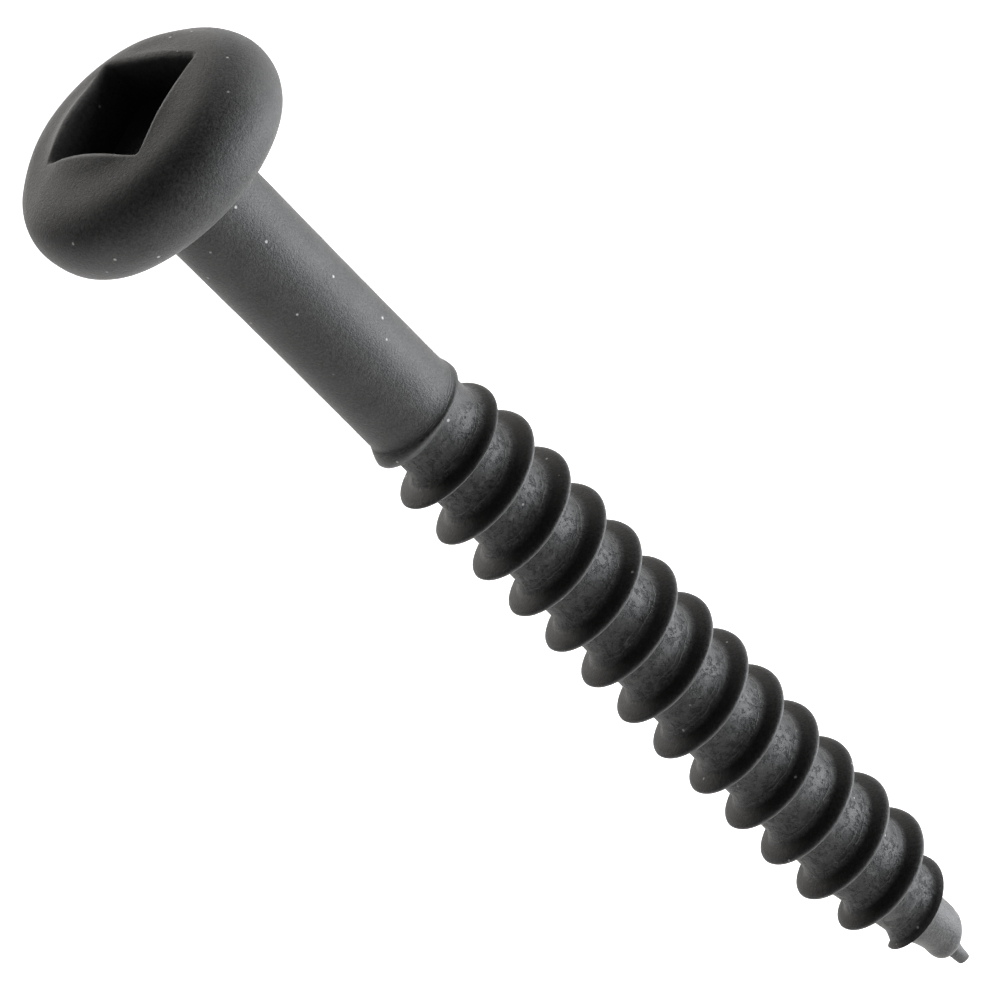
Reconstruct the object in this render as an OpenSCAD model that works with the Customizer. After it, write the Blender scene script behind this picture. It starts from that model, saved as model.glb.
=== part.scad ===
// Square-drive pan head wood screw, right-hand thread.
// The origin is the centre of the flat ring under the head. The head rises along +Z
// and the shank, the thread and the point run down along -Z. Sizes are millimetres.
// The screw is one piece of steel, so its nodes are its named stretches: each one is
// a closed solid and meets the next one face to face.

/* [Length] */
// Length under the head, from the bearing ring to the end of the nib
under_head_length = 31.75; // [24:0.25:45]
// Length of the plain shank under the head
shank_length = 8.5; // [5:0.1:12]

/* [Head] */
// Diameter of the head at its widest ring
head_d = 7.1; // [6.4:0.02:9]
// Height of the head over the bearing ring
head_h = 3.15; // [2.95:0.05:4]
// Radius of the rounded edge under the widest ring
rim_lower_r = 1.12; // [0.8:0.02:1.3]
// Radius of the rounded edge over the widest ring
rim_upper_r = 1.4; // [1:0.02:1.45]
// Radius of the fillet between the head and the shank
neck_r = 0.3; // [0.15:0.05:0.45]
// How far the neck is let into the head
neck_seat = 0.3; // [0.1:0.05:0.4]

/* [Square drive] */
// Width of the square socket across its flats
drive_w = 3; // [2.4:0.02:3.2]
// Depth of the flat walls of the socket, from the top of the dome
drive_depth = 1.9; // [1.4:0.05:2.1]
// Depth of the conical bottom under the walls
drive_cone = 0.4; // [0.2:0.05:0.5]
// Turn of the square about the axis, in degrees
drive_turn = 32; // [0:1:89]

/* [Shank and core] */
// Diameter of the plain shank
shank_d = 2.72; // [2.4:0.02:3.2]
// Diameter of the core between the thread's turns
core_d = 2.34; // [1.9:0.02:2.6]
// Length of the cone between the shank and the core
shoulder_length = 0.35; // [0.15:0.05:0.8]

/* [Thread] */
// Outer diameter of the thread where it leaves the shank
major_d = 3.6; // [3.3:0.02:4.4]
// Outer diameter of the thread where the point begins
major_d_low = 3.42; // [3.1:0.02:4.2]
// Outer diameter of the thread where it stops
major_d_end = 2.24; // [1.8:0.02:2.6]
// Distance between two turns
pitch = 1.49; // [1.2:0.01:1.9]
// Width of the ridge at its foot
ridge_foot = 0.7; // [0.5:0.02:0.9]
// Width of the ridge at its crest
ridge_crest = 0.14; // [0.08:0.02:0.3]
// Height of the crest's crown over its two edges
crest_crown = 0.04; // [0.02:0.01:0.08]
// How far above the end of the shank the ridge begins to rise
runout_rise = 0.6; // [0.2:0.05:1]
// Turns over which the ridge grows from the shank to its full height
growing_turns = 1.7; // [1:0.1:2.5]
// Distance from the end of the nib to the end of the thread
thread_end_gap = 1.9; // [1.5:0.05:2.4]
// Direction in which the thread ends, in degrees about the axis
thread_end_turn = 180; // [0:1:359]

/* [Point] */
// Length of the point, from the core to the end of the nib
point_length = 4.45; // [4:0.05:6]
// Diameter of the point where its round end begins
point_d = 1.26; // [1:0.02:1.4]
// Length of the round end, down to the flat land that carries the nib
point_end_length = 0.5; // [0.4:0.02:0.6]
// Length of the nib that the pinched blank leaves
nib_length = 0.58; // [0.3:0.02:0.8]
// Diameter of the nib at its foot
nib_d = 0.44; // [0.3:0.02:0.5]
// Diameter of the nib at its end
nib_end_d = 0.26; // [0.1:0.02:0.3]
// How far the nib sits off the axis
nib_offset = 0.04; // [0:0.01:0.12]
// Direction in which the nib sits off the axis, in degrees
nib_turn = 0; // [0:1:359]

/* [Hidden] */

$fn = 96;
eps = 0.01;

// Black phosphate finish, and the steel that shows through it at the worn tip
coat = [0.20, 0.20, 0.21];
coat_light = [0.30, 0.30, 0.31];
coat_dark = [0.14, 0.13, 0.13];
bare = [0.48, 0.49, 0.50];

head_r = head_d / 2;
shank_r = shank_d / 2;
core_r = core_d / 2;
point_r = point_d / 2;

// The dome is the circle that touches the upper rim arc and passes through the top
dome_rise = head_h - rim_lower_r;
rim_upper_x = head_r - rim_upper_r;
dome_r = (pow(dome_rise, 2) + pow(rim_upper_x, 2) - pow(rim_upper_r, 2))
    / (2 * (dome_rise - rim_upper_r));
dome_z = head_h - dome_r;
dome_edge_x = rim_upper_x * dome_r / (dome_r - rim_upper_r);

// Heights of the planes where one stretch of the screw meets the next
neck_z = -neck_r;
shank_z = -shank_length;
core_z = shank_z - shoulder_length;
point_z = -(under_head_length - point_length);
tip_z = -under_head_length;
land_z = tip_z + nib_length;
round_z = land_z + point_end_length;
point_slope = (core_r - point_r) / (point_z - round_z);

// The round end is an arc from the side of the point to the flat land over the nib
land_r = nib_d / 2 + nib_offset;
end_arc_r = (pow(point_r - land_r, 2) + pow(point_end_length, 2)) / (2 * (point_r - land_r));

// The helix is counted up from the place where the ridge stops. Its run-out is cut to
// the shank, the shoulder and the core, so its foot starts buried in them
steps_a_turn = 30;
step_angle = 360 / steps_a_turn;
seat_gap = 0.004;
buried_foot = 0.15;
thread_end_z = tip_z + thread_end_gap;
thread_start_z = core_z - ridge_foot / 2;
runout_start_z = shank_z + runout_rise;
thread_steps = floor((thread_start_z - thread_end_z) / pitch * steps_a_turn);
runout_steps = floor((runout_start_z - thread_end_z) / pitch * steps_a_turn);

// Radius of the core or of the point at a height
function body_r(z) = z >= point_z ? core_r : core_r - (point_z - z) * point_slope;

// Radius of the ridge's foot: its flats touch the round core from outside
function foot_r(z) = body_r(z) / cos(step_angle / 2) + seat_gap;

// Outer radius of the full ridge at a height
function full_r(z) = z >= point_z
    ? (major_d + (major_d_low - major_d) * (runout_start_z - z) / (runout_start_z - point_z)) / 2
    : (major_d_low + (major_d_end - major_d_low) * (point_z - z) / (point_z - thread_end_z)) / 2;

// Outer radius of the ridge at a height, rising out of the shank over its first turns
function grown(z) = min(1, (runout_start_z - z) / (growing_turns * pitch));
function crest_r(z) = shank_r + grown(z) * (full_r(z) - shank_r);

// Section of the ridge at a height, as [radius, height] points that begin at the crest,
// so that the triangles of an end cap, which all share the first point, have an area
function section(z, bury) =
    let (
        foot = ridge_foot / 2,
        edge = ridge_crest / 2
    )
    [
        [crest_r(z), z],
        [crest_r(z) - crest_crown, z - edge],
        [foot_r(z - foot) - bury, z - foot],
        [foot_r(z) - bury, z],
        [foot_r(z + foot) - bury, z + foot],
        [crest_r(z) - crest_crown, z + edge]
    ];

// Sections of the ridge between two steps of the helix, the upper one first
function ridge_rings(first, last, bury) = [
    for (i = [first : -1 : last])
        let (
            z = thread_end_z + i * pitch / steps_a_turn,
            turn = thread_end_turn + i * step_angle
        )
        [
            for (p = section(z, bury))
                [p[0] * cos(turn), p[0] * sin(turn), p[1]]
        ]
];

// A sweep of one section a step, its closed rings joined and its two ends capped
module sweep_rings(rings) {
    size = len(rings[0]);
    last = (len(rings) - 1) * size;
    sides = [
        for (i = [0 : len(rings) - 2], j = [0 : size - 1])
            let (
                a = i * size + j,
                b = i * size + (j + 1) % size,
                c = b + size,
                d = a + size
            )
            each [[a, b, c], [a, c, d]]
    ];
    caps = [
        for (j = [1 : size - 2])
            each [[0, j + 1, j], [last, last + j, last + j + 1]]
    ];
    polyhedron(points = [for (ring = rings) each ring], faces = concat(sides, caps));
}

// Half outline of the head, from true arcs
module head_outline() {
    square([head_r - rim_lower_r, rim_lower_r]);
    intersection() {
        translate([head_r - rim_lower_r, rim_lower_r])
            circle(rim_lower_r);
        square([head_r, rim_lower_r]);
    }
    intersection() {
        translate([rim_upper_x, rim_lower_r])
            circle(rim_upper_r);
        translate([rim_upper_x, rim_lower_r])
            square([rim_upper_r, rim_upper_r]);
    }
    intersection() {
        translate([0, dome_z])
            circle(dome_r);
        translate([0, rim_lower_r])
            square([dome_edge_x, dome_rise]);
    }
}

// Square socket with a conical bottom
module drive_socket() {
    wall_z = head_h - drive_depth;
    rotate([0, 0, drive_turn])
        translate([-drive_w / 2, -drive_w / 2, wall_z])
            cube([drive_w, drive_w, drive_depth + eps]);
    translate([0, 0, wall_z - drive_cone])
        cylinder(h = drive_cone, r1 = 0, r2 = drive_w / 2);
}

// Round stretches that the run-out of the ridge is cut to
module shank_form() {
    translate([0, 0, shank_z])
        cylinder(h = neck_z - shank_z, r = shank_r);
}

module shoulder_form() {
    translate([0, 0, core_z])
        cylinder(h = shoulder_length, r1 = core_r, r2 = shank_r);
}

module core_form() {
    translate([0, 0, point_z])
        cylinder(h = core_z - point_z, r = core_r);
}

module pan_head() {
    color(coat)
        difference() {
            rotate_extrude()
                head_outline();
            translate([0, 0, -eps])
                cylinder(h = neck_seat + eps, r = shank_r + neck_r);
            drive_socket();
        }
}

module neck() {
    color(coat_light)
        rotate_extrude()
            difference() {
                translate([0, neck_z])
                    square([shank_r + neck_r, neck_r + neck_seat]);
                translate([shank_r + neck_r, neck_z])
                    circle(neck_r);
            }
}

module shank() {
    color(coat_light)
        shank_form();
}

module shoulder() {
    color(coat)
        shoulder_form();
}

module core() {
    color(coat_light)
        core_form();
}

// Start of the ridge, where it climbs out of the shank
module thread_runout() {
    color(coat_dark)
        difference() {
            sweep_rings(ridge_rings(runout_steps, thread_steps, buried_foot));
            shank_form();
            shoulder_form();
            core_form();
        }
}

module thread() {
    color(coat_dark)
        sweep_rings(ridge_rings(thread_steps, 0, 0));
}

module point() {
    color(bare) {
        translate([0, 0, round_z])
            cylinder(h = point_z - round_z, r1 = point_r, r2 = core_r);
        translate([0, 0, round_z])
            mirror([0, 0, 1])
                rotate_extrude()
                    intersection() {
                        translate([point_r - end_arc_r, 0])
                            circle(end_arc_r);
                        square([point_r, point_end_length]);
                    }
    }
}

module nib() {
    color(bare)
        translate([nib_offset * cos(nib_turn), nib_offset * sin(nib_turn), tip_z])
            cylinder(h = nib_length, r1 = nib_end_d / 2, r2 = nib_d / 2);
}

pan_head();
neck();
shank();
shoulder();
core();
thread_runout();
thread();
point();
nib();
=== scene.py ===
"""Looks of a square-drive pan head wood screw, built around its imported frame.

The screw is one piece of phosphated steel. Its visual pieces are the head, the shank,
the threaded stretch, the point and the nib, and each stands for the CAD nodes it covers.
All sizes are in millimetres and become metres when a mesh is made.
"""

import logging
import math
from dataclasses import dataclass
from enum import Enum

import bpy
import numpy as np
from mathutils import Matrix, Vector


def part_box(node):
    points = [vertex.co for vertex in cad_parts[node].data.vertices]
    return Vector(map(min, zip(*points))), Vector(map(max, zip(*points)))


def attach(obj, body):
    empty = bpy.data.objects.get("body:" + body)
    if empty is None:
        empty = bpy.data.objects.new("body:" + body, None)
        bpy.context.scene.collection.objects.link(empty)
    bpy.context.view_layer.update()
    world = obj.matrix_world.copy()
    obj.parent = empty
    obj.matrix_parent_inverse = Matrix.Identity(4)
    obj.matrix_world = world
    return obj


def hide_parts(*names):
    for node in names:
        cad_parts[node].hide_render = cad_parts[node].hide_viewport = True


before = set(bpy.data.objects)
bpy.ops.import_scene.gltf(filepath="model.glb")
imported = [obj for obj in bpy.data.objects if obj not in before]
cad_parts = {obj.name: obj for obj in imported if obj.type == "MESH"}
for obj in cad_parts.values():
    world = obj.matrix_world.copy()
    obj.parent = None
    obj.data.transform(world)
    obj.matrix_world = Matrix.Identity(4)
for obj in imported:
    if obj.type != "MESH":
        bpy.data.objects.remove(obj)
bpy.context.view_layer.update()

Array = np.ndarray
Piece = bpy.types.Object
Socket = bpy.types.NodeSocket
LOG = logging.getLogger("wood_screw")
MM = 0.001
TAU = 2.0 * math.pi
SHARP_ANGLE = math.radians(50.0)


# ---------- sizes


def node_span(node: str) -> list[list[float]]:
    """Lowest and highest corners of a CAD node, in millimetres."""
    return [[float(v) / MM for v in corner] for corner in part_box(node)]


@dataclass
class ScrewSizes:
    """Sizes that the pieces share, in millimetres, measured down from the bearing ring.

    The radii and the planes are read from the frame. The rest are the design's own values.
    """

    head_r: float
    shank_r: float
    shank_z: float
    core_r: float
    point_top_z: float
    point_low_z: float
    tip_z: float
    nib_r: float
    nib_x: float
    head_h: float = 3.15
    rim_lower_r: float = 1.12
    neck_r: float = 0.3
    drive_w: float = 3.0
    drive_depth: float = 1.9
    drive_cone: float = 0.4
    drive_turn: float = math.radians(32.0)
    pitch: float = 1.49
    thread_end_gap: float = 1.9
    major_r: float = 1.8
    major_low_r: float = 1.71
    major_end_r: float = 1.08
    ridge_foot: float = 0.7
    point_r: float = 0.63
    point_end: float = 0.5
    nib_end_r: float = 0.13

    @classmethod
    def from_frame(cls) -> "ScrewSizes":
        """Reads what the frame's node boxes give.

        Returns:
            The sizes of this screw.
        """
        nodes = ("pan_head", "shank", "core", "point", "nib")
        head, shank, core, point, nib = (node_span(node) for node in nodes)
        return cls(
            head_r=head[1][0],
            shank_r=shank[1][0],
            shank_z=shank[0][2],
            core_r=core[1][0],
            point_top_z=point[1][2],
            point_low_z=point[0][2],
            tip_z=nib[0][2],
            nib_r=(nib[1][0] - nib[0][0]) / 2.0,
            nib_x=(nib[1][0] + nib[0][0]) / 2.0,
        )

    @property
    def thread_end_z(self) -> float:
        """Height of the ridge's centre where the ridge stops."""
        return self.tip_z + self.thread_end_gap

    @property
    def round_z(self) -> float:
        """Height where the point's round end begins."""
        return self.point_low_z + self.point_end

    @property
    def point_slope(self) -> float:
        """Loss of radius along the point's taper."""
        return (self.core_r - self.point_r) / (self.point_top_z - self.round_z)


# ---------- meshes


def smooth_max(a: Array, b: Array, width: float) -> Array:
    """Larger of two arrays with a round fillet where they cross.

    The fillet adds h squared over four widths, where h is how far the two are closer
    than the width.

    Args:
        a: first array.
        b: second array.
        width: difference at which the fillet ends.

    Returns:
        The blended array.
    """
    near = np.clip(width - np.abs(a - b), 0.0, None)
    return np.maximum(a, b) + near * near / (4.0 * width)


def smooth_step(x: Array, low: float, high: float) -> Array:
    """Cubic step from 0 where x is at low to 1 where it is at high."""
    t = np.clip((x - low) / (high - low), 0.0, 1.0)
    return t * t * (3.0 - 2.0 * t)


def ripple(u: Array, v: Array, seed: float) -> Array:
    """Smooth unevenness between about -1 and 1, a sum of three crossing sine waves.

    Args:
        u: first coordinate, in radians.
        v: second coordinate, in radians.
        seed: shift that sets one use apart from another.

    Returns:
        The unevenness at each place.
    """
    first = np.sin(3.0 * u + 1.7 * v + seed)
    second = np.sin(5.0 * u - 2.9 * v + 2.3 * seed)
    third = np.sin(2.0 * u + 7.1 * v + 0.7 * seed)
    return (first + 0.6 * second + 0.5 * third) / 2.1


def signed_volume(points: Array, triangles: Array) -> float:
    """Volume inside a closed triangle mesh, positive where its faces point outwards."""
    a, b, c = (points[triangles[:, k]] for k in range(3))
    return float(np.einsum("ij,ij->i", a, np.cross(b, c)).sum() / 6.0)


def build_mesh(
    name: str, points: Array, quads: Array, triangles: Array, scalars: dict[str, Array]
) -> Piece:
    """Puts a closed surface into a new object.

    Args:
        name: name of the object.
        points: vertices in millimetres.
        quads: four-sided faces.
        triangles: three-sided faces.
        scalars: values for each vertex, by attribute name.

    Returns:
        The object, linked to the scene.
    """
    split = np.concatenate([quads[:, [0, 1, 2]], quads[:, [0, 2, 3]], triangles])
    if signed_volume(points, split) < 0.0:
        quads = quads[:, ::-1]
        triangles = triangles[:, ::-1]
    mesh = bpy.data.meshes.new(name)
    faces = [*map(tuple, quads.tolist()), *map(tuple, triangles.tolist())]
    mesh.from_pydata((points * MM).tolist(), [], faces)
    for key, values in scalars.items():
        layer = mesh.attributes.new(key, "FLOAT", "POINT")
        layer.data.foreach_set("value", values.astype(np.float32).ravel())
    mesh.polygons.foreach_set("use_smooth", np.ones(len(mesh.polygons), dtype=bool))
    mesh.set_sharp_from_angle(angle=SHARP_ANGLE)
    mesh.update()
    piece = bpy.data.objects.new(name, mesh)
    bpy.context.scene.collection.objects.link(piece)
    return piece


def closed_rings(name: str, grid: Array, **scalars: Array) -> Piece:
    """Surface through rings of points, closed by a pole at the middle of each end ring.

    Args:
        name: name of the object.
        grid: points of each ring at each column.
        **scalars: values of each ring at each column, by attribute name.

    Returns:
        The object.
    """
    rows, cols = grid.shape[:2]
    poles = np.stack([grid[0].mean(axis=0), grid[-1].mean(axis=0)])
    row, col = np.meshgrid(np.arange(rows - 1), np.arange(cols), indexing="ij")
    here = row * cols + col
    beside = row * cols + (col + 1) % cols
    quads = np.stack([here, beside, beside + cols, here + cols], axis=-1).reshape(-1, 4)
    ring = np.arange(cols)
    follow = (ring + 1) % cols
    last = (rows - 1) * cols
    pole = np.full(cols, rows * cols)
    first_fan = np.stack([pole, follow, ring], axis=-1)
    last_fan = np.stack([pole + 1, last + ring, last + follow], axis=-1)
    triangles = np.concatenate([first_fan, last_fan])
    values = {key: np.append(v, (v[0].mean(), v[-1].mean())) for key, v in scalars.items()}
    points = np.concatenate([grid.reshape(-1, 3), poles])
    return build_mesh(name, points, quads, triangles, values)


def around_axis(radius: Array, angle: Array, height: Array, shift: Array | float = 0.0) -> Array:
    """Points at a radius, an angle and a height about an axis that lies shifted along X."""
    return np.stack([shift + radius * np.cos(angle), radius * np.sin(angle), height], axis=-1)


def lathe(profile: Array, columns: int, unevenness: float, seed: float) -> Array:
    """Rings of a lathed profile, with a slight unevenness in their radius.

    Args:
        profile: [radius, height] points from one end to the other.
        columns: number of columns round the axis.
        unevenness: largest change of the radius, in millimetres.
        seed: shift of the unevenness.

    Returns:
        Points of each ring at each column.
    """
    angle = np.linspace(0.0, TAU, columns, endpoint=False)
    radius = np.repeat(profile[:, :1], columns, axis=1)
    height = np.repeat(profile[:, 1:], columns, axis=1)
    share = radius / radius.max()
    radius = radius + unevenness * share * ripple(angle[None, :], height * 2.1, seed)
    return around_axis(radius, angle, height)


def arc(centre: tuple[float, float], radius: float, start: float, stop: float, steps: int) -> Array:
    """Points of a circular arc, one [x, y] row each, from one angle to another."""
    turn = np.linspace(start, stop, steps)
    return np.array(centre) + radius * np.stack([np.cos(turn), np.sin(turn)], axis=-1)


# ---------- finishes


class Coat(Enum):
    """How much of the phosphate coat is left on a stretch of the screw."""

    FULL = "black_phosphate"
    RUBBED = "worn_phosphate"
    THIN = "bare_tip"


class Shader:
    """Short way to build a node tree for one material."""

    def __init__(self, name: str) -> None:
        """Starts an empty material.

        Args:
            name: name of the material.
        """
        self.material = bpy.data.materials.new(name)
        self.material.use_nodes = True
        self.tree = self.material.node_tree
        self.tree.nodes.clear()

    def add(
        self, kind: str, feeds: dict[str | int, object] | None = None, **settings: object
    ) -> bpy.types.Node:
        """Adds a node.

        Args:
            kind: Blender's name of the node type.
            feeds: constants and output sockets for its inputs, by name or number.
            **settings: properties of the node.

        Returns:
            The node.
        """
        node = self.tree.nodes.new(kind)
        for key, value in settings.items():
            setattr(node, key, value)
        for socket, value in (feeds or {}).items():
            if isinstance(value, Socket):
                self.tree.links.new(value, node.inputs[socket])
            else:
                node.inputs[socket].default_value = value
        return node

    def point(self, shift: float = 0.0) -> Socket:
        """Object coordinates in millimetres.

        Args:
            shift: shift along each axis.

        Returns:
            The coordinates.
        """
        place = self.add("ShaderNodeTexCoord").outputs["Object"]
        feeds = {"Vector": place, "Scale": (1.0 / MM,) * 3, "Location": (shift,) * 3}
        return self.add("ShaderNodeMapping", feeds).outputs["Vector"]

    def noise(self, scale: float, detail: float, rough: float = 0.55, shift: float = 0.0) -> Socket:
        """Fractal noise between 0 and 1.

        Args:
            scale: lumps of the coarsest octave to a millimetre.
            detail: number of octaves.
            rough: strength of the finer octaves.
            shift: shift that sets one pattern apart from another.

        Returns:
            The noise.
        """
        place = self.point(shift)
        feeds = {"Vector": place, "Scale": scale, "Detail": detail, "Roughness": rough}
        return self.add("ShaderNodeTexNoise", feeds).outputs["Fac"]

    def remap(
        self, value: Socket, low: float, high: float, to_low: float = 0.0, to_high: float = 1.0
    ) -> Socket:
        """Clamped linear change of range.

        Args:
            value: input.
            low: input that gives to_low.
            high: input that gives to_high.
            to_low: first output.
            to_high: second output.

        Returns:
            The changed value.
        """
        feeds = {"Value": value, "From Min": low, "From Max": high}
        feeds.update({"To Min": to_low, "To Max": to_high})
        return self.add("ShaderNodeMapRange", feeds).outputs["Result"]

    def calc(self, operation: str, a: object, b: object = 0.0) -> Socket:
        """Result of an operation, by Blender's name, on one or two values or outputs."""
        return self.add("ShaderNodeMath", {0: a, 1: b}, operation=operation).outputs[0]

    def times(self, product: object, *others: object) -> Socket:
        """Product of two or more values."""
        for other in others:
            product = self.calc("MULTIPLY", product, other)
        return product

    def blend(self, share: object, a: object, b: object) -> Socket:
        """Mix of two colours, of which share is how much of the second one to take."""
        return self.add("ShaderNodeMix", {0: share, 6: a, 7: b}, data_type="RGBA").outputs[2]

    def attribute(self, name: str) -> Socket:
        """Value of a mesh attribute, 0 on a mesh that has none of that name."""
        return self.add("ShaderNodeAttribute", attribute_name=name).outputs["Fac"]

    def surface(self, node: bpy.types.Node) -> None:
        """Makes a shader node the material's surface."""
        self.add("ShaderNodeOutputMaterial", {"Surface": node.outputs[0]})


def grey(value: float, warmth: float = 0.0) -> tuple[float, float, float, float]:
    """Grey colour of a linear brightness; warmth is the share red gains and blue loses."""
    return (value * (1.0 + warmth), value, value * (1.0 - warmth), 1.0)


@dataclass(frozen=True)
class RollingMarks:
    """Marks that thread rolling leaves along the helix, with painted shade on the flank that faces
    the head and a pale crest line that is partly a painted highlight.

    Attributes:
        flank_painted_shade: strength of the painted shade on the flank that faces the head.
        scuffed: strength of the dark scuffs on the groove's floor.
        bared: strength of the pale patches on it.
        folded: strength of the pale fold lines where the floor meets the flank.
        folds: place of each fold line, in turns from the crest, and its pattern's shift.
        fold_half: half the width of a fold line, in turns, where it is full and where it ends.
        crest_wear_and_highlight: least and greatest strength of the pale line on the crest, partly
            abraded coat and partly a painted highlight.
        crest_half: half its width, in turns, where it is full and where it ends.
    """

    flank_painted_shade: float = 0.5
    scuffed: float = 0.85
    bared: float = 0.6
    folded: float = 0.5
    folds: tuple[tuple[float, float], ...] = ((0.225, 11.0), (0.29, 17.0))
    fold_half: tuple[float, float] = (0.004, 0.014)
    crest_wear_and_highlight: tuple[float, float] = (0.08, 0.5)
    crest_half: tuple[float, float] = (0.012, 0.04)

    def add(self, s: Shader, colour: Socket, relief: Socket) -> tuple[Socket, Socket]:
        """Adds the marks to a coat.

        Args:
            s: shader being built.
            colour: colour so far.
            relief: bump height so far.

        Returns:
            The new colour and bump height.
        """
        turn = s.calc("ARCTAN2", s.attribute("helix_sine"), s.attribute("helix_cosine"))
        phase = s.calc("DIVIDE", turn, TAU)
        bend = s.remap(s.noise(1.6, 2.0), 0.3, 0.7, -0.03, 0.03)
        bent = s.calc("ADD", phase, bend)
        floor = s.attribute("floor")
        flank = s.attribute("flank")
        # painted shade: the flank that faces the head is darkened towards a warm near-black
        colour = s.blend(s.times(flank, self.flank_painted_shade), colour, grey(0.004, 0.3))
        scuff = s.remap(s.noise(5.5, 4.0, 0.75), 0.52, 0.6)
        scuff = s.times(scuff, floor, self.scuffed)
        colour = s.blend(scuff, colour, grey(0.012))
        bare = s.remap(s.noise(3.4, 4.0, 0.7, shift=31.0), 0.56, 0.66)
        colour = s.blend(s.times(bare, floor, self.bared), colour, grey(0.1))
        relief = s.calc("SUBTRACT", relief, s.times(scuff, 1.5))
        for place, shift in self.folds:
            away = s.calc("ABSOLUTE", s.calc("SUBTRACT", bent, place))
            line = s.remap(away, *self.fold_half, 1.0, 0.0)
            broken = s.remap(s.noise(2.2, 3.0, shift=shift), 0.42, 0.58)
            line = s.times(line, broken, self.folded)
            colour = s.blend(line, colour, grey(0.14))
            relief = s.calc("ADD", relief, line)
        # pale line on the crest: partly abraded coat, partly a painted highlight
        crest = s.remap(s.calc("ABSOLUTE", phase), *self.crest_half, 1.0, 0.0)
        wear_and_painted_light = s.remap(s.noise(2.6, 3.0, shift=23.0), 0.4, 0.62, *self.crest_wear_and_highlight)
        return s.blend(s.times(crest, wear_and_painted_light), colour, grey(0.1)), relief


@dataclass(frozen=True)
class Phosphate:
    """Black phosphate on steel: mottled crystals, soft patches and dust, with painted light at the
    socket's mouth and painted shade inside the socket.

    Attributes:
        coat: how much of the coat is left.
        dark: linear brightness between the crystals.
        light: linear brightness of the crystals.
        wear_and_painted_light: linear brightness of the painted light at the socket's mouth, shown
            as abraded coat.
        grain: crystals to a millimetre.
        patch: soft patches to a millimetre.
        rough: roughness.
        relief: height of the crystals, in millimetres.
        dust: share of the places for a speck of dust that hold one.
        dust_cells: such places to a millimetre.
        sheen: sheen of the coat, left off the flank that faces the head to darken it as painted
            shade.
        flank_shine: specular level on that flank, lowered for the same painted shade.
        marks: marks of thread rolling with painted shade and a partly painted highlight, on the
            threaded stretch only.
    """

    coat: Coat
    dark: float
    light: float
    wear_and_painted_light: float = 0.13
    grain: float = 12.0
    patch: float = 1.3
    rough: float = 0.55
    relief: float = 0.022
    dust: float = 0.6
    dust_cells: float = 1.8
    sheen: float = 0.12
    flank_shine: float = 0.22
    marks: RollingMarks | None = None

    def make(self, name: str) -> bpy.types.Material:
        """Builds the material.

        Args:
            name: name of the material.

        Returns:
            The material.
        """
        s = Shader(name)
        grain = s.noise(self.grain, 3.0, 0.7)
        fine = s.noise(self.grain * 2.2, 2.0, 0.6)
        patch = s.noise(self.patch, 3.0, 0.5)
        speckle = s.remap(grain, 0.38, 0.62, 0.0, 0.42)
        speckle = s.calc("ADD", speckle, s.remap(fine, 0.4, 0.6, 0.0, 0.36))
        mottle = s.calc("ADD", speckle, s.remap(patch, 0.32, 0.68, 0.0, 0.22))
        colour = s.blend(mottle, grey(self.dark), grey(self.light))
        relief = s.calc("ADD", grain, s.times(fine, 0.6))
        # painted light on the socket's upper walls and mouth, blotched by noise and shown as
        # abraded coat
        spotty = s.remap(s.noise(4.5, 4.0, 0.7), 0.35, 0.62)
        mouth_light_share = s.times(s.attribute("wear"), s.remap(spotty, 0.0, 1.0, 0.3, 0.8))
        colour = s.blend(mouth_light_share, colour, grey(self.wear_and_painted_light))
        # painted shade inside the socket, darkest on its bottom
        deep = s.attribute("deep")
        colour = s.blend(s.times(deep, 0.8), colour, grey(0.004))
        if self.marks is not None:
            colour, relief = self.marks.add(s, colour, relief)
        colour = self.add_dust(s, colour)
        rough = s.remap(grain, 0.25, 0.75, self.rough - 0.08, self.rough + 0.12)
        feeds = {"Height": relief, "Strength": 0.8, "Distance": self.relief * MM}
        bump = s.add("ShaderNodeBump", feeds)
        flank = s.attribute("flank")
        feeds = {
            "Base Color": colour,
            "Roughness": rough,
            "Normal": bump.outputs["Normal"],
            "Metallic": 0.0,
            "IOR": 1.45,
            # lower specular level and no sheen on the flank that faces the head deepen its painted
            # shade
            "Specular IOR Level": s.remap(flank, 0.0, 1.0, 0.5, self.flank_shine),
            "Sheen Weight": s.remap(flank, 0.0, 1.0, self.sheen, 0.0),
            "Sheen Roughness": 0.35,
        }
        s.surface(s.add("ShaderNodeBsdfPrincipled", feeds))
        LOG.info("finish %s: %s coat", name, self.coat.name.lower())
        return s.material

    def add_dust(self, s: Shader, colour: Socket) -> Socket:
        """Scatters a few pale specks of dust.

        Args:
            s: shader being built.
            colour: colour under the dust.

        Returns:
            The colour with the dust on it.
        """
        feeds = {"Vector": s.point(), "Scale": self.dust_cells}
        cells = s.add("ShaderNodeTexVoronoi", feeds, feature="F1")
        near = s.remap(cells.outputs["Distance"], 0.045, 0.085, 1.0, 0.0)
        split = s.add("ShaderNodeSeparateColor", {"Color": cells.outputs["Color"]})
        chosen = s.calc("GREATER_THAN", split.outputs[0], 1.0 - self.dust)
        return s.blend(s.times(near, chosen), colour, grey(0.42, 0.02))


HEAD_COAT = Phosphate(Coat.FULL, dark=0.003, light=0.066)
SHANK_COAT = Phosphate(Coat.RUBBED, dark=0.008, light=0.068, rough=0.52, dust=0.7)
THREAD_COAT = Phosphate(Coat.RUBBED, dark=0.008, light=0.068, rough=0.52, marks=RollingMarks())
TIP_COAT = Phosphate(Coat.THIN, dark=0.025, light=0.11, rough=0.45, dust=0.2)


# ---------- pieces


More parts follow.
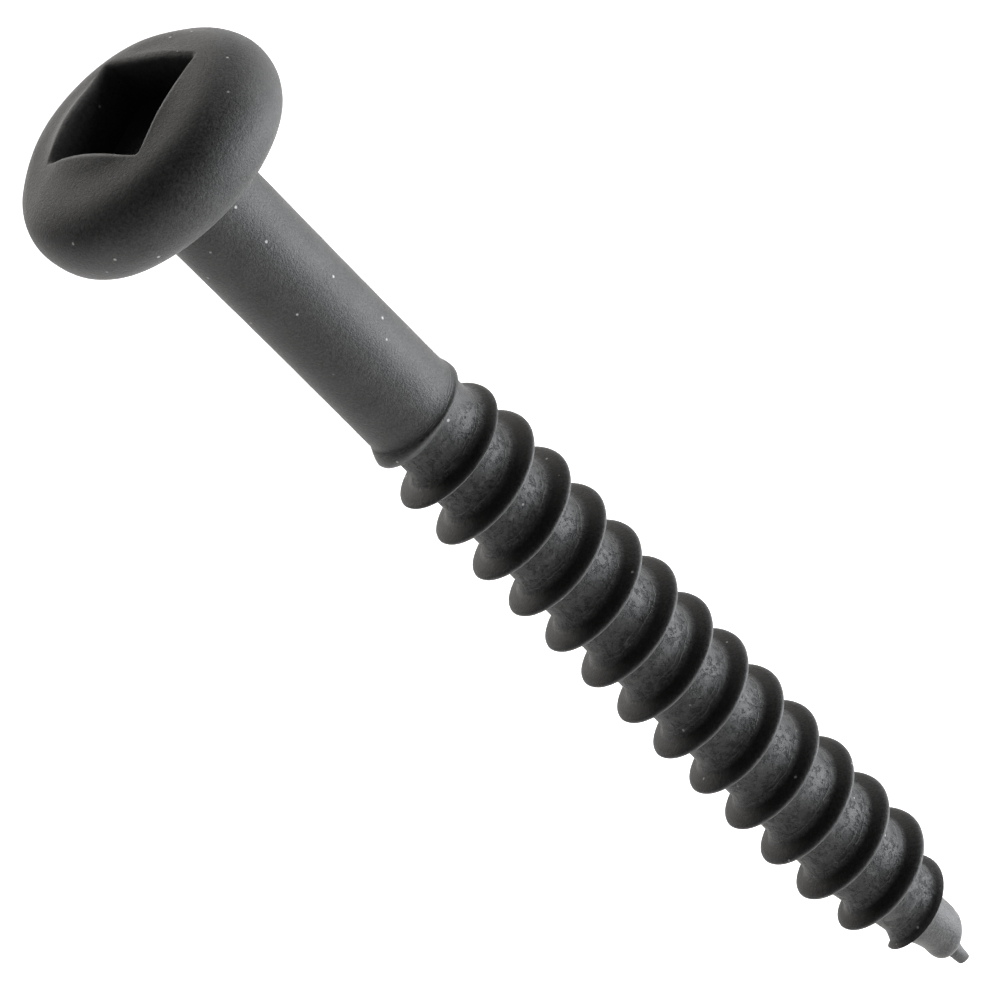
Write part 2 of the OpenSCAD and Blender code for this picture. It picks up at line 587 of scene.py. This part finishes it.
@dataclass
class Head:
    """Domed head with a rounded rim, a flat bearing ring and a square socket.

    Attributes:
        size: sizes of the screw.
        half_columns: columns from a corner of the square to the middle of a side.
        lip_width: how far the socket's rounded mouth reaches outwards.
        lip_height: how far it reaches down.
        corner_power: power of the superellipse that rounds the square's corners.
        lean: how far the cold-headed dome lies towards -X at its edge.
        socket_shift: how far the punch sat towards +X.
        sink: how far the punch drew the dome down round the mouth.
        sink_r: radius from which that fades towards the dome's edge.
        narrow: how much sooner the fade ends on the +Y side.
        dip: how much deeper that is for each millimetre towards -Y.
        rim_r: radius of the rim's upper arc, tighter than the design's.
        crown: how far over the head's height the dome's circle would reach.
        wall_draft: share by which the socket's walls draw in towards its bottom.
        wear_and_painted_light: strength of the painted light, shown as abraded coat, at the inner
            edge of the mouth, fading down the socket's walls.
        shade: strength of the painted shade inside the socket, full on its bottom and fading up the
            walls.
        lower_power: power that draws the rim's lower arc; 1 gives a circle's.
        full_side: how much less that is on the -X side, where the rim is fuller.
        dent: largest unevenness of the rim's radius.
    """

    size: ScrewSizes
    half_columns: int = 40
    lip_width: float = 0.18
    lip_height: float = 0.14
    corner_power: float = 26.0
    lean: float = 0.16
    socket_shift: float = 0.14
    sink: float = 0.3
    sink_r: float = 1.75
    narrow: float = 0.55
    dip: float = 0.05
    rim_r: float = 1.25
    crown: float = 0.16
    wall_draft: float = 0.015
    wear_and_painted_light: float = 0.9
    shade: float = 0.9
    lower_power: float = 0.85
    full_side: float = 0.15
    dent: float = 0.006

    def dome(self) -> tuple[float, float, float]:
        """Circle of the dome, which touches the rim's upper arc and passes the top.

        Returns:
            Its radius, the height of its centre and the radius where the arc takes over.
        """
        z = self.size
        top = z.head_h + self.crown
        rise = top - z.rim_lower_r
        across = z.head_r - self.rim_r
        radius = (rise**2 + across**2 - self.rim_r**2) / (2.0 * (rise - self.rim_r))
        return radius, top - radius, across * radius / (radius - self.rim_r)

    def columns(self) -> Array:
        """Angles of the columns, evenly spaced along the sides of the square.

        Returns:
            The angles about the axis, from the middle of the first side.
        """
        step = np.linspace(-1.0, 1.0, 2 * self.half_columns, endpoint=False)
        side = np.arctan(step)
        return np.concatenate([side + k * TAU / 4.0 for k in range(4)])

    def square(self, angle: Array) -> Array:
        """Radius of the rounded square: half its width over the p-norm of the direction.

        Args:
            angle: angles from the middle of a side.

        Returns:
            The radius at each angle.
        """
        power = self.corner_power
        norm = np.abs(np.cos(angle)) ** power + np.abs(np.sin(angle)) ** power
        return self.size.drive_w / 2.0 / norm ** (1.0 / power)

    def top(self, x: Array, y: Array) -> Array:
        """Height of the dome, drawn down towards its middle by the punch.

        Args:
            x: places along X from the dome's axis.
            y: places along Y from the dome's axis.

        Returns:
            The height at each place.
        """
        dome_r, dome_z, edge = self.dome()
        across = np.hypot(x, y)
        faded = edge - self.narrow * smooth_step(y, 0.0, self.sink_r)
        depth = self.sink - self.dip * np.minimum(y, 0.0)
        near = 1.0 - smooth_step(across, self.sink_r, faded)
        return dome_z + np.sqrt(dome_r**2 - across**2) - depth * near

    def socket_rings(self, mouth: Array, mouth_z: Array) -> list[tuple]:
        """Rings of the conical bottom, the walls and the rounded mouth.

        Args:
            mouth: radius of the square at each column.
            mouth_z: height of the dome over the outer edge of the mouth.

        Returns:
            Radius, height, shift along X, painted light and painted shade of each ring.
        """
        z = self.size
        floor_z = z.head_h - z.drive_depth
        lip_z = mouth_z - self.lip_height
        rings = []
        for share in np.linspace(0.08, 0.97, 8):
            cone_z = floor_z - z.drive_cone * (1.0 - share)
            # the cone at the bottom gets the full painted shade
            rings.append((mouth * share, cone_z, self.socket_shift, 0.0, self.shade))
        for share in np.linspace(0.0, 1.0, 16):
            wall = mouth * (1.0 - self.wall_draft * (1.0 - share))
            wall_z = floor_z + (lip_z - floor_z) * share
            # walls: painted shade fades towards the mouth while painted light grows towards it
            deep = self.shade * (1.0 - share) ** 1.3
            rings.append((wall, wall_z, self.socket_shift, self.wear_and_painted_light * share**3, deep))
        for turn in np.linspace(0.0, TAU / 4.0, 9)[1:]:
            out = self.lip_width * (1.0 - math.cos(turn))
            up = self.lip_height * math.sin(turn)
            # painted light at the mouth's inner edge and a painted highlight along the middle of
            # its round
            mouth_light = max(self.wear_and_painted_light * math.cos(turn), math.sin(2.0 * turn) ** 2)
            rings.append((mouth + out, lip_z + up, self.socket_shift, mouth_light, 0.0))
        return rings

    def rings(self) -> tuple[Array, Array, Array]:
        """Rings from the socket's bottom over the mouth, the dome and the rim to below.

        Returns:
            Points of the rings, their painted light near the socket's mouth and their painted shade
            inside it.
        """
        z = self.size
        local = self.columns()
        angle = local + z.drive_turn
        mouth = self.square(local)
        dome_r, _, edge = self.dome()
        outer = mouth + self.lip_width
        offset = self.socket_shift + self.lean
        mouth_z = self.top(outer * np.cos(angle) + offset, outer * np.sin(angle))
        rings = self.socket_rings(mouth, mouth_z)
        for share in np.linspace(0.0, 1.0, 30)[1:]:
            across = outer + (edge - outer) * share
            slide = self.socket_shift * (1.0 - share) - self.lean * share
            dome_x = across * np.cos(angle) + offset * (1.0 - share)
            rings.append((across, self.top(dome_x, across * np.sin(angle)), slide, 0.0, 0.0))
        tilt = TAU / 4.0 - math.asin(edge / dome_r)
        rim = list(arc((z.head_r - self.rim_r, z.rim_lower_r), self.rim_r, tilt, 0.0, 26))
        edge_z = rim.pop(0)[1]
        power = self.lower_power - self.full_side * smooth_step(-np.cos(angle), 0.2, 1.0)
        for turn in np.linspace(0.0, TAU / 4.0, 24)[1:]:
            r = z.head_r - z.rim_lower_r * (1.0 - math.cos(turn) ** power)
            rim.append((r, z.rim_lower_r * (1.0 - math.sin(turn))))
        rings += [(r, h, -self.lean * (h / edge_z) ** 2, 0.0, 0.0) for r, h in rim]
        for r in np.linspace(z.head_r - z.rim_lower_r, z.shank_r * 0.5, 5)[1:]:
            rings.append((r, 0.0, 0.0, 0.0, 0.0))
        radius, height, shift, mouth_light, deep = (
            np.array([item + 0.0 * mouth for item in column]) for column in zip(*rings)
        )
        dent = self.dent * ripple(2.0 * angle[None, :], height * 1.3 + radius * 0.6, 0.4)
        radius = radius + dent * smooth_step(radius, 2.0, 2.6)
        return around_axis(radius, angle, height, shift), mouth_light, deep

    def build(self) -> Piece:
        """Makes the head and gives it its finish.

        Returns:
            The head.
        """
        grid, mouth_light, deep = self.rings()
        piece = closed_rings("screw_head", grid, wear=mouth_light, deep=deep)
        piece.data.materials.append(HEAD_COAT.make("head_phosphate"))
        return piece


@dataclass
class Shank:
    """Plain shank with the fillet that joins it to the head.

    Attributes:
        size: sizes of the screw.
        overlap: gap between its end and the shank's end, which the threaded piece covers.
        swell: how much thicker it is under the head.
        swell_end: depth under the head where that has faded.
        seat: height inside the head to which the fillet goes on.
    """

    size: ScrewSizes
    overlap: float = 0.3
    swell: float = 0.03
    swell_end: float = 6.0
    seat: float = 0.25

    def profile(self) -> Array:
        """Outline from inside the head, round the fillet and down the shank.

        Returns:
            [radius, height] points.
        """
        z = self.size
        wide = z.shank_r + self.swell + z.neck_r
        top = [[wide * 0.5, self.seat], [wide, self.seat], [wide, self.seat * 0.4]]
        fillet = arc((wide, -z.neck_r), z.neck_r, TAU / 4.0, TAU / 2.0, 14)
        bottom = z.shank_z + self.overlap
        height = np.linspace(-z.neck_r, bottom, 70)[1:]
        thick = z.shank_r + self.swell * (1.0 - smooth_step(-height, 0.0, self.swell_end))
        straight = np.stack([thick, height], axis=-1)
        return np.concatenate([top, fillet, straight, [[z.shank_r * 0.5, bottom]]])

    def build(self) -> Piece:
        """Makes the shank and gives it its finish.

        Returns:
            The shank.
        """
        piece = closed_rings("screw_shank", lathe(self.profile(), 144, 0.003, 1.9))
        piece.data.materials.append(SHANK_COAT.make("shank_phosphate"))
        return piece


@dataclass
class Thread:
    """Threaded stretch: the core, the ridge and the place where it leaves the shank.

    The surface is a strip that winds down the screw. Row i and column j lie at turn
    angle a and at height z(i) + pitch * a / full turn, so rows follow the helix, and the
    last column meets the first column one pitch of rows further down. Its radius is the
    larger of the groove's floor and the flanks of the two nearest turns.

    Attributes:
        size: sizes of the screw.
        columns: columns in a turn.
        rows_a_turn: rows in a pitch.
        first_turn: turns from the ridge's end to where it leaves the shank.
        runout_turns: turns over which the ridge grows out of the shank.
        growth: power of that growth, slower at first where it is over 1.
        taper_turns: turns over which the ridge then keeps growing, from its lower end up.
        end_turns: turns over which the ridge drops before it stops.
        start_sink: how far its very start is drawn into the shank.
        wobble: largest unevenness of its height.
        proud: how far the strip lies over the shank and the point that it overlaps.
        sunk: how far its upper edge lies inside the shank.
        seam: angle between the last column and the first.
        steepness: loss of radius along a flank.
        low_steepness: the same where the ridge begins to rise out of the shank.
        round_crest: size of the round crest.
        sharp_end: the same where the ridge stops.
        ramp: height of the low ramp at the foot of the flank that faces the head, as a
            share of the ridge's height.
        ramp_start: distance from the crest to the top of the ramp.
        ramp_slope: loss of radius along the ramp.
        ramp_sunk: least depth of the ramp under the crest.
        crowding: how much closer the first turns lie than the pitch gives.
        kink: how far the ridge's start bends back up, on its first half turn.
        drift: how far the middle of the thread lies above its even place.
        drift_turns: turns over which it does, counted from one turn over the ridge's end.
        fillet: difference in radius at which the fillet at the ridge's foot ends.
        ramp_fillet: the same for the ramp's foot.
        sink_span: turns from the ridge's start between which start_sink sets in.
        fill_span: the same for the groove that fills up to the shank.
        low_span: the same for low_steepness.
        worn_span: the same for the groove's marks, which end.
        edge_span: the same for the strip's edge, which dips into the shank.
    """

    size: ScrewSizes
    columns: int = 112
    rows_a_turn: int = 36
    first_turn: float = 15.0
    runout_turns: float = 2.0
    growth: float = 1.4
    taper_turns: float = 13.0
    end_turns: float = 1.35
    start_sink: float = 0.12
    wobble: float = 0.008
    proud: float = 0.003
    sunk: float = 0.012
    seam: float = 0.006
    steepness: float = 4.4
    low_steepness: float = 0.32
    round_crest: float = 0.21
    sharp_end: float = 0.05
    ramp: float = 0.18
    ramp_start: float = 0.29
    ramp_slope: float = 0.5
    ramp_sunk: float = 0.02
    crowding: float = 0.5
    kink: float = 0.17
    drift: float = 0.14
    drift_turns: float = 12.0
    fillet: float = 0.1
    ramp_fillet: float = 0.06
    sink_span: tuple[float, float] = (0.45, 0.0)
    fill_span: tuple[float, float] = (1.45, 0.7)
    low_span: tuple[float, float] = (1.7, 0.9)
    worn_span: tuple[float, float] = (1.2, 0.8)
    edge_span: tuple[float, float] = (-0.02, -0.3)

    def begun(self, s: Array, span: tuple[float, float]) -> Array:
        """Step from 0 to 1 between two distances from the ridge's start, in turns."""
        return smooth_step(s, self.first_turn - span[0], self.first_turn - span[1])

    def crest(self, s: Array) -> Array:
        """Outer radius of the ridge, s turns up from its end.

        It grows out of the shank over the run-out, loses a little towards the point,
        and drops over its last turn.

        Args:
            s: turns from the ridge's end.

        Returns:
            The radius in millimetres.
        """
        z = self.size
        taper = (z.major_r - z.major_low_r) * np.clip(s / self.taper_turns, 0.0, 1.0)
        grown = np.clip((self.first_turn - s) / self.runout_turns, 0.0, 1.0) ** self.growth
        radius = z.shank_r + (z.major_low_r + taper - z.shank_r) * grown
        dropped = np.clip(1.0 - s / self.end_turns, 0.0, 1.0)
        radius = radius - (z.major_low_r - z.major_end_r) * dropped
        radius = radius - self.start_sink * self.begun(s, self.sink_span)
        return radius + self.wobble * ripple(s * 2.3, s * 0.9, 0.2)

    def floor(self, s: Array, height: Array) -> Array:
        """Radius of the groove's floor, or of the point where that is smaller.

        Args:
            s: turns of the groove's middle from the ridge's end.
            height: height on the axis.

        Returns:
            The radius in millimetres.
        """
        z = self.size
        radius = z.core_r + (z.shank_r - z.core_r) * self.begun(s, self.fill_span)
        return radius - np.clip(z.point_top_z - height, 0.0, None) * z.point_slope

    def settle(self, s: Array) -> Array:
        """How far a turn lies above its even place on the helix.

        The crowding is a power curve that sets in 2.3 turns from the ridge's start, the
        kink a bell curve about 0.75 turns from it, and the drift half a sine wave.

        Args:
            s: turns from the ridge's end.

        Returns:
            The rise in millimetres, negative downwards.
        """
        past_start = s - self.first_turn
        crowded = np.clip((past_start + 2.3) / 1.8, 0.0, None) ** 1.3
        kinked = np.exp(-(((past_start + 0.75) / 0.22) ** 2))
        drifted = np.sin(math.pi * np.clip((s - 1.0) / self.drift_turns, 0.0, 1.0))
        return self.drift * drifted - self.crowding * crowded + self.kink * kinked

    def build(self) -> Piece:
        """Makes the strip, caps its two edges and gives it its finish.

        Returns:
            The threaded piece.
        """
        z = self.size
        rows = int((self.first_turn + 0.6) * self.rows_a_turn)
        bottom = z.thread_end_z - z.ridge_foot * 0.42
        low = bottom + z.pitch / self.rows_a_turn * np.arange(rows)[::-1]
        turn = np.linspace(0.0, TAU - self.seam, self.columns)
        even = low[:, None] + z.pitch * turn[None, :] / TAU
        along = (even - z.thread_end_z) / z.pitch
        height = even + self.settle(along)
        turns_up = along - turn[None, :] / TAU
        radius, floor, flank = self.surface(turns_up, turn[None, :], height)
        grid = around_axis(radius, math.pi + turn, height).reshape(-1, 3)
        points, quads, triangles = self.close(grid, rows)
        grids = {
            "floor": floor,
            "flank": flank,
            "helix_cosine": np.cos(TAU * turns_up),
            "helix_sine": np.sin(TAU * turns_up),
        }
        scalars = {key: np.append(values, (0.0, 0.0)) for key, values in grids.items()}
        piece = build_mesh("screw_thread", points, quads, triangles, scalars)
        piece.data.materials.append(THREAD_COAT.make("thread_phosphate"))
        return piece

    def surface(self, turns_up: Array, turn: Array, height: Array) -> tuple[Array, Array, Array]:
        """Radius of the strip, and where its floor and its flanks are.

        The ridge at whole numbers of turns_up has a round crest and steep flanks:
        top - steepness * (sqrt(a^2 + c^2) - c), with a the distance from the crest and
        c the size of its round. A low ramp leads from the floor to the foot of the flank
        that faces the head, and small fillets join them.

        Args:
            turns_up: helical coordinate, whole on a crest.
            turn: angle from the ridge's end.
            height: height on the axis.

        Returns:
            Radius, share of groove floor and share of flank that faces the head.
        """
        z = self.size
        part = turn / TAU
        nearest = np.floor(turns_up)
        groove = self.floor(nearest + 0.5 + part, height)
        radius = groove
        flank = np.zeros_like(height)
        for crest_turn, faces_head in ((nearest, True), (nearest + 1.0, False)):
            s = crest_turn + part
            there = (s >= 0.0) & (s <= self.first_turn)
            away = np.abs(turns_up - crest_turn) * z.pitch
            crest = self.crest(s)
            blunted = smooth_step(s, 0.0, 1.4)
            rounding = self.sharp_end + (self.round_crest - self.sharp_end) * blunted
            bend = np.hypot(away, rounding) - rounding
            low = self.begun(s, self.low_span)
            steep = self.steepness + (self.low_steepness - self.steepness) * low * faces_head
            line = np.where(there, crest - steep * bend, 0.0)
            if faces_head:
                rise = self.ramp * (crest - groove)
                ramp = groove + rise - self.ramp_slope * (away - self.ramp_start)
                ramp = np.minimum(ramp, crest - self.ramp_sunk)
                radius = smooth_max(radius, np.where(there, ramp, 0.0), self.ramp_fillet)
                # mask of the flank that faces the head, which the finish darkens as painted shade
                lifted = smooth_step(line - groove, 0.1, 0.2) * (1.0 - low)
                flank = lifted * smooth_step(away, 0.04, 0.12)
            radius = smooth_max(radius, line, self.fillet)
        marked = 1.0 - self.begun(turns_up + part, self.worn_span)
        floor = (1.0 - smooth_step(radius - groove, 0.08, 0.2)) * marked
        top = self.begun(turns_up + part, self.edge_span)
        return radius + self.proud - (self.proud + self.sunk) * top, floor, flank

    def close(self, grid: Array, rows: int) -> tuple[Array, Array, Array]:
        """Joins the strip to itself along the helix and closes both edges with a fan.

        Args:
            grid: points of the strip, row by row.
            rows: number of rows.

        Returns:
            Points, quads and triangles of the closed surface.
        """
        cols = self.columns
        step = self.rows_a_turn
        number = np.arange(rows * cols).reshape(rows, cols)
        inner = np.stack(
            [number[:-1, :-1], number[:-1, 1:], number[1:, 1:], number[1:, :-1]], axis=-1
        ).reshape(-1, 4)
        left = number[step:, cols - 1]
        right = number[:-step, 0]
        across = np.stack([left[:-1], right[:-1], right[1:], left[1:]], axis=-1)
        upper = np.concatenate([number[0, :], number[1 : step + 1, cols - 1]])
        lower = np.concatenate([number[rows - 1 - step : rows, 0], number[rows - 1, 1:]])
        centre = [[0.0, 0.0, grid[number[row, 0], 2]] for row in (0, rows - 1)]
        poles = [rows * cols, rows * cols + 1]
        fans = [
            np.stack([np.full(len(loop), pole), np.roll(loop, -1), loop], axis=-1)
            for loop, pole in ((upper, poles[0]), (lower[::-1], poles[1]))
        ]
        return (
            np.concatenate([grid, np.array(centre)]),
            np.concatenate([inner, across]).astype(int),
            np.concatenate(fans).astype(int),
        )


@dataclass
class Point:
    """Tapered point with a blunt end, bent and cut aslant by the pinching dies.

    Attributes:
        size: sizes of the screw.
        covered: length at its top that the threaded piece stands for.
        bend: how far the end lies towards +X of the axis.
        cut_high: height over the round end from which the slanting cut draws it up.
        cut: how much shorter the +X side is than the -X side, as a share of the end.
        stretch: share by which the -X side is longer than the design's.
        blunt: power that makes the round end fuller than a circle's arc.
    """

    size: ScrewSizes
    covered: float = 0.6
    bend: float = 0.17
    cut_high: float = 0.3
    cut: float = 0.6
    stretch: float = 0.1
    blunt: float = 4.0

    def profile(self) -> Array:
        """Outline from under the threaded piece to the land that carries the nib.

        The end is a superellipse from the side of the point to the land.

        Returns:
            [radius, height] points.
        """
        z = self.size
        top = z.point_top_z - self.covered
        height = np.linspace(top, z.round_z, 40)
        radius = z.core_r - np.clip(z.point_top_z - height, 0.0, None) * z.point_slope
        side = np.stack([radius, height], axis=-1)
        turn = np.linspace(0.0, TAU / 4.0, 24)[1:]
        land = z.nib_r * 0.5
        power = 2.0 / self.blunt
        end_r = land + (z.point_r - land) * np.cos(turn) ** power
        end_z = z.round_z - z.point_end * np.sin(turn) ** power
        end = np.stack([end_r, end_z], axis=-1)
        return np.concatenate([[[z.core_r * 0.5, top]], side, end])

    def build(self) -> Piece:
        """Makes the point and gives it its finish.

        Returns:
            The point.
        """
        z = self.size
        grid = lathe(self.profile(), 96, 0.008, 3.1)
        x, height = grid[..., 0], grid[..., 2]
        bent = smooth_step(-height, -z.thread_end_z - z.ridge_foot / 2.0, -z.round_z)
        below = np.clip(z.round_z + self.cut_high - height, 0.0, None)
        aside = np.clip(0.5 + 0.5 * x / z.point_r, 0.0, 1.0)
        height += below * (self.cut * aside**2 - self.stretch)
        x += self.bend * bent
        piece = closed_rings("screw_point", grid)
        piece.data.materials.append(TIP_COAT.make("point_worn_steel"))
        return piece


@dataclass
class Nib:
    """Small remnant at the very end, pinched flat and leaning.

    Attributes:
        size: sizes of the screw.
        buried: how far its foot reaches up into the point.
        lean: how far its end lies towards +X of its foot.
        flat: how much wider than round it is along X, and thinner along Y.
        over: how far the pulled-out metal reaches past the design's length.
        round_r: radius of the round edge at its end.
    """

    size: ScrewSizes
    buried: float = 0.3
    lean: float = 0.05
    flat: float = 1.28
    over: float = 0.12
    round_r: float = 0.06

    def build(self) -> Piece:
        """Makes the nib and gives it its finish.

        Returns:
            The nib.
        """
        z = self.size
        share = np.linspace(0.0, 1.0, 18)
        radius = z.nib_r + (z.nib_end_r - z.nib_r) * share
        foot = z.point_low_z + self.buried
        last = z.tip_z - self.over
        rounded_z = last + self.round_r
        side = np.stack([radius, foot + (rounded_z - foot) * share], axis=-1)
        edge = (z.nib_end_r - self.round_r, rounded_z)
        end = arc(edge, self.round_r, 0.0, -TAU / 4.0, 6)[1:]
        grid = lathe(np.concatenate([side, end]), 48, 0.02, 5.2)
        leaning = self.lean * (foot - grid[..., 2]) / (foot - last)
        grid[..., 0] = z.nib_x + grid[..., 0] * self.flat + leaning
        grid[..., 1] /= self.flat
        piece = closed_rings("screw_nib", grid)
        piece.data.materials.append(TIP_COAT.make("nib_worn_steel"))
        return piece


# ---------- studio


@dataclass(frozen=True)
class Lamp:
    """Soft square light, placed by its direction from the screw.

    Attributes:
        name: name of the light.
        around: direction about the screw, in degrees from the camera's side towards +X.
        above: height of the direction over the level, in degrees.
        distance: distance in millimetres.
        width: width in millimetres.
        glow: brightness of its surface.
        tint: share by which red gains and blue loses.
    """

    name: str
    around: float
    above: float
    distance: float
    width: float
    glow: float
    tint: float = 0.0

    def build(self, middle: Vector) -> None:
        """Makes the light.

        Args:
            middle: place it faces, in metres.
        """
        around = math.radians(self.around)
        above = math.radians(self.above)
        level = math.cos(above)
        toward = Vector((math.sin(around) * level, -math.cos(around) * level, math.sin(above)))
        data = bpy.data.lights.new(self.name, "AREA")
        data.shape = "SQUARE"
        data.size = self.width * MM
        data.energy = self.glow * math.pi * data.size**2
        data.color = grey(1.0, self.tint)[:3]
        light = bpy.data.objects.new(self.name, data)
        light.matrix_world = (
            Matrix.Translation(middle + toward * self.distance * MM)
            @ toward.to_track_quat("Z", "Y").to_matrix().to_4x4()
        )
        light.visible_camera = False
        bpy.context.scene.collection.objects.link(light)


LAMPS = (
    Lamp("key", around=69.0, above=-29.0, distance=110.0, width=60.0, glow=15.5, tint=-0.05),
    Lamp("back", around=180.0, above=30.0, distance=220.0, width=260.0, glow=2.5, tint=0.03),
    Lamp("right_fill", around=102.0, above=4.0, distance=160.0, width=110.0, glow=3.0),
    Lamp("left_fill", around=-110.0, above=15.0, distance=160.0, width=130.0, glow=0.15, tint=0.05),
)


@dataclass
class Studio:
    """Camera, soft lights and a plain pale glowing floor.

    Attributes:
        size: sizes of the screw.
        tilt: angle between the view and the screw's axis, in degrees.
        roll: direction of the axis in the picture, down from its right, in degrees.
        focal: focal length as a multiple of the picture's width.
        distance: distance along the view to the shank's end, in millimetres.
        aim: place of the shank's end in the picture, as shares of its width and height.
        floor_drop: gap between the nib and the floor, in millimetres.
        floor_glow: brightness of the floor, as of a light table.
        ambient: brightness of the room above the floor.
    """

    size: ScrewSizes
    tilt: float = 60.0
    roll: float = 45.1
    focal: float = 7.5
    distance: float = 182.4
    aim: tuple[float, float] = (0.4052, 0.4021)
    floor_drop: float = 90.0
    floor_glow: float = 1.02
    ambient: float = 0.075

    def axes(self) -> tuple[Vector, Vector, Vector]:
        """Directions of the picture's right and up, and of the view.

        Returns:
            Three unit vectors.
        """
        tilt = math.radians(self.tilt)
        roll = math.radians(self.roll)
        view = Vector((0.0, math.sin(tilt), -math.cos(tilt)))
        down_axis = Vector((0.0, -math.cos(tilt), -math.sin(tilt)))
        side = Vector((1.0, 0.0, 0.0))
        right = down_axis * math.cos(roll) + side * math.sin(roll)
        up = side * math.cos(roll) - down_axis * math.sin(roll)
        return right, up, view

    def camera(self) -> None:
        """Makes the camera that sees the screw from the head's side, lying across."""
        right, up, view = self.axes()
        anchor = Vector((0.0, 0.0, self.size.shank_z)) * MM
        x = (self.aim[0] - 0.5) / self.focal
        y = (0.5 - self.aim[1]) / self.focal
        place = anchor - (view + right * x + up * y) * self.distance * MM
        data = bpy.data.cameras.new("camera")
        data.sensor_width = 36.0
        data.lens = self.focal * data.sensor_width
        data.clip_start = 0.005
        data.clip_end = 10.0
        eye = bpy.data.objects.new("camera", data)
        turn = Matrix((right, up, -view)).transposed().to_4x4()
        eye.matrix_world = Matrix.Translation(place) @ turn
        bpy.context.scene.collection.objects.link(eye)
        bpy.context.scene.camera = eye

    def light(self) -> None:
        """Sets the dim room and the soft lights."""
        world = bpy.data.worlds.new("studio_world")
        world.use_nodes = True
        room = world.node_tree.nodes["Background"]
        room.inputs["Color"].default_value = (1.0, 1.0, 1.0, 1.0)
        room.inputs["Strength"].default_value = self.ambient
        bpy.context.scene.world = world
        middle = Vector((0.0, 0.0, self.size.tip_z * 0.4)) * MM
        for lamp in LAMPS:
            lamp.build(middle)

    def floor(self) -> None:
        """Makes the pale glowing floor under the screw."""
        level = (self.size.tip_z - self.floor_drop) * MM
        half = 4.0
        corners = [(x * half, y * half, level) for x, y in ((-1, -1), (1, -1), (1, 1), (-1, 1))]
        mesh = bpy.data.meshes.new("floor")
        mesh.from_pydata(corners, [], [(0, 1, 2, 3)])
        plane = bpy.data.objects.new("floor", mesh)
        bpy.context.scene.collection.objects.link(plane)
        s = Shader("floor_acrylic")
        feeds = {
            "Base Color": grey(0.9),
            "Roughness": 0.9,
            "Emission Color": (1.0, 0.99, 0.98, 1.0),
            "Emission Strength": self.floor_glow,
        }
        s.surface(s.add("ShaderNodeBsdfPrincipled", feeds))
        mesh.materials.append(s.material)

    def build(self) -> None:
        """Makes the whole studio."""
        self.camera()
        self.light()
        self.floor()
        bpy.context.scene.view_settings.view_transform = "Standard"


# ---------- assembly


def place(piece: Piece, nodes: tuple[str, ...], coat: Coat) -> None:
    """Ties a piece to the frame.

    Args:
        piece: the piece.
        nodes: CAD nodes that the piece stands for.
        coat: finish of the piece; not used.
    """
    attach(piece, "root")
    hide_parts(*nodes)
    LOG.info("%s: %d faces, for %s", piece.name, len(piece.data.polygons), ", ".join(nodes))


def main() -> None:
    """Builds the screw piece by piece, then its studio."""
    logging.basicConfig(level=logging.INFO, format="%(message)s")
    size = ScrewSizes.from_frame()
    place(Head(size).build(), ("pan_head",), Coat.FULL)
    place(Shank(size).build(), ("neck", "shank"), Coat.RUBBED)
    place(Thread(size).build(), ("shoulder", "core", "thread_runout", "thread"), Coat.RUBBED)
    place(Point(size).build(), ("point",), Coat.THIN)
    place(Nib(size).build(), ("nib",), Coat.THIN)
    Studio(size).build()


if __name__ == "__main__":
    main()
